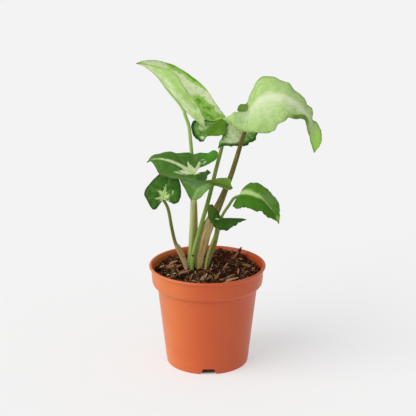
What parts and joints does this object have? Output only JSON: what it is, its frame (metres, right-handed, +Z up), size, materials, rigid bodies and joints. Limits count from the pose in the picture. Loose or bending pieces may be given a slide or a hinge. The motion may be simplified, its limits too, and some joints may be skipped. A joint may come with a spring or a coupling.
{
  "type": "potted arrowhead plant",
  "caption": "Young arrowhead vine with upright leaf stalks and variegated arrow-shaped leaves, growing from soil in a round nursery pot with a collar rim.",
  "frame": {"origin": "centre of the flat pad under the pot, on the surface that the pot stands on", "axes": "+Z up, -Y towards the front, +X to the right of a viewer at the front"},
  "size_m": [0.1381, 0.09, 0.2365],
  "materials": {
    "pot": "satin",
    "soil": "matte",
    "crown": "matte",
    "leaf_pale": "satin",
    "leaf_green": "satin",
    "leaf_dark": "satin"
  },
  "bodies": {
    "root": {"pot": "pot", "soil": "soil", "crown_stem": "crown", "leaf_upper_left": "leaf_pale", "leaf_upper_right": "leaf_pale", "leaf_middle_back": "leaf_green", "leaf_middle_left": "leaf_dark", "leaf_lower_left": "leaf_dark", "leaf_centre_cupped": "leaf_green", "leaf_right": "leaf_green", "leaf_front_small": "leaf_dark"}
  },
  "joints": []
}
